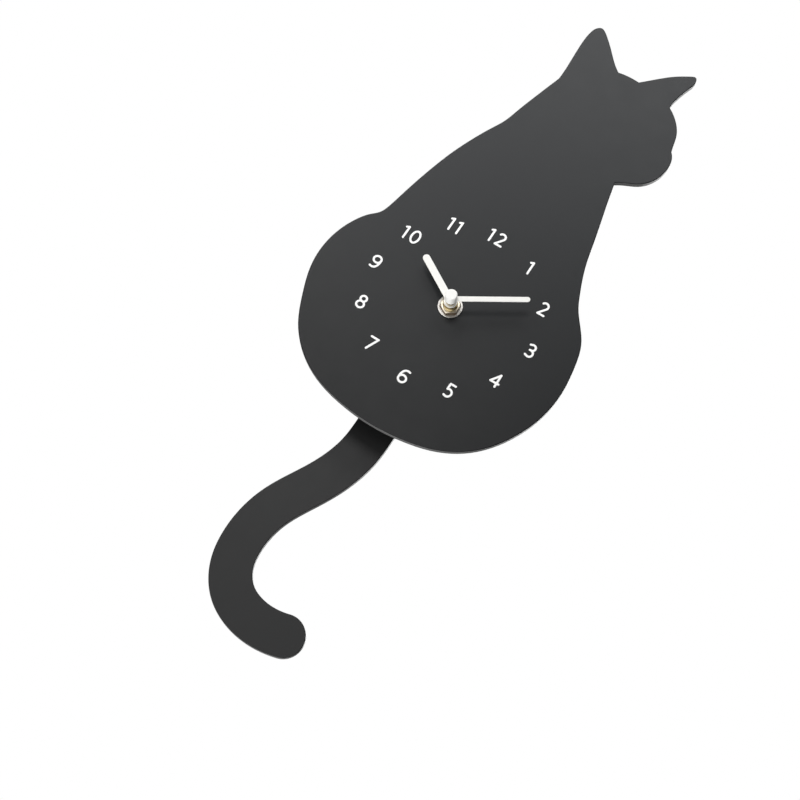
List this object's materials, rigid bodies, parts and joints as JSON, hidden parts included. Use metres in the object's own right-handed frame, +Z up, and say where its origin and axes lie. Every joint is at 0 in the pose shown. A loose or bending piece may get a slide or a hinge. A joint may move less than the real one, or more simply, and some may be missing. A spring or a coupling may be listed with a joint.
{
  "type": "pendulum wall clock",
  "caption": "Flat cat-shaped wall clock with printed numerals, hour and minute hands, a battery movement behind the panel and a separate tail that swings as a pendulum.",
  "frame": {"origin": "centre of the hang hole, in the plane of the wall", "axes": "+Z up, +X to the right seen from the front, +Y from the dial towards the wall"},
  "size_m": [0.1517, 0.0471, 0.4023],
  "materials": {
    "black_board": "matte",
    "white_print": "matte",
    "washer_plate": "polished",
    "nut_plate": "polished",
    "bushing_brass": "polished",
    "hand_white": "satin",
    "cap_white": "satin",
    "train_brass": "satin",
    "arbor_steel": "polished",
    "wheel_plastic": "satin",
    "knob_plastic": "satin",
    "magnet": "satin",
    "motor_steel": "satin",
    "rivet_brass": "satin",
    "bobbin_plastic": "satin",
    "winding_copper": "gloss",
    "plate_plastic": "satin",
    "screw_steel": "satin",
    "board_green": "gloss",
    "chip_resin": "gloss",
    "crystal_can": "polished",
    "case_plastic": "matte",
    "hanger_steel": "satin",
    "gasket_rubber": "matte",
    "cell_jacket": "gloss",
    "contact_steel": "polished",
    "arm_plastic": "satin"
  },
  "bodies": {
    "clock": {"cat_panel": "black_board", "dial_numerals": "white_print", "dial_washer": "washer_plate", "hex_nut": "nut_plate", "threaded_bushing": "bushing_brass", "rubber_gasket": "gasket_rubber", "front_case": "case_plastic", "rear_cover": "case_plastic", "cover_screws": "screw_steel", "hanger_bracket": "hanger_steel", "hanger_screws": "screw_steel", "battery_cell": "cell_jacket", "positive_contact": "contact_steel", "negative_contact": "contact_steel", "circuit_board": "board_green", "clock_chip": "chip_resin", "quartz_crystal": "crystal_can", "middle_plate": "plate_plastic", "rear_plate": "plate_plastic", "plate_screws": "screw_steel", "stator": "motor_steel", "coil_core": "motor_steel", "stator_rivets": "rivet_brass", "motor_bobbin": "bobbin_plastic", "motor_winding": "winding_copper", "pendulum_bobbin": "bobbin_plastic", "pendulum_winding": "winding_copper", "pivot_pin": "arbor_steel"},
    "minute_hand": {"minute_hand": "hand_white", "centre_cap": "cap_white", "minute_arbor": "arbor_steel"},
    "hour_hand": {"hour_hand": "hand_white", "hour_wheel": "train_brass"},
    "minute_wheel": {"minute_wheel": "wheel_plastic"},
    "setting_knob": {"setting_knob": "knob_plastic", "setting_arbor": "wheel_plastic"},
    "intermediate_wheel": {"intermediate_wheel": "wheel_plastic"},
    "rotor": {"rotor_magnet": "magnet", "rotor_pinion": "wheel_plastic"},
    "seconds_wheel": {"seconds_wheel": "wheel_plastic"},
    "third_wheel": {"third_wheel": "wheel_plastic"},
    "centre_wheel": {"centre_wheel": "wheel_plastic"},
    "tail": {"cat_tail": "black_board", "tail_strap": "hanger_steel", "tail_screws": "screw_steel", "swing_arm": "arm_plastic", "swing_magnet": "magnet"}
  },
  "joints": [
    {"name": "minute_turn", "type": "hinge", "parent": "clock", "child": "minute_hand", "pos_m": [0, -0.03, -0.044], "axis": [0, 1, 0], "continuous": true},
    {"name": "hour_turn", "type": "hinge", "parent": "clock", "child": "hour_hand", "pos_m": [0, -0.03, -0.044], "axis": [0, 1, 0], "continuous": true},
    {"name": "minute_wheel_turn", "type": "hinge", "parent": "clock", "child": "minute_wheel", "pos_m": [-0.006, -0.024, -0.03361], "axis": [0, 1, 0], "continuous": true},
    {"name": "setting_turn", "type": "hinge", "parent": "clock", "child": "setting_knob", "pos_m": [-0.01904, -0.01, -0.0371], "axis": [0, 1, 0], "continuous": true},
    {"name": "intermediate_turn", "type": "hinge", "parent": "clock", "child": "intermediate_wheel", "pos_m": [0.00779, -0.015, -0.0485], "axis": [0, 1, 0], "continuous": true},
    {"name": "rotor_turn", "type": "hinge", "parent": "clock", "child": "rotor", "pos_m": [0.01602, -0.015, -0.05149], "axis": [0, 1, 0], "continuous": true},
    {"name": "seconds_turn", "type": "hinge", "parent": "clock", "child": "seconds_wheel", "pos_m": [0, -0.016, -0.044], "axis": [0, 1, 0], "continuous": true},
    {"name": "third_turn", "type": "hinge", "parent": "clock", "child": "third_wheel", "pos_m": [-0.00774, -0.018, -0.05506], "axis": [0, 1, 0], "continuous": true},
    {"name": "centre_turn", "type": "hinge", "parent": "clock", "child": "centre_wheel", "pos_m": [0, -0.022, -0.044], "axis": [0, 1, 0], "continuous": true},
    {"name": "tail_swing", "type": "hinge", "parent": "clock", "child": "tail", "pos_m": [-0.00725, -0.009, -0.064], "axis": [0, 1, 0], "range_deg": [-8, 8]}
  ],
  "couplings": [
    {"joint": "hour_turn", "follows": "minute_turn", "ratio": 0.083333},
    {"joint": "minute_wheel_turn", "follows": "minute_turn", "ratio": -0.33333},
    {"joint": "setting_turn", "follows": "minute_turn", "ratio": 0.66667},
    {"joint": "rotor_turn", "follows": "intermediate_turn", "ratio": -6},
    {"joint": "seconds_turn", "follows": "intermediate_turn", "ratio": -0.2},
    {"joint": "third_turn", "follows": "intermediate_turn", "ratio": 0.026667},
    {"joint": "centre_turn", "follows": "intermediate_turn", "ratio": -0.0033333}
  ]
}
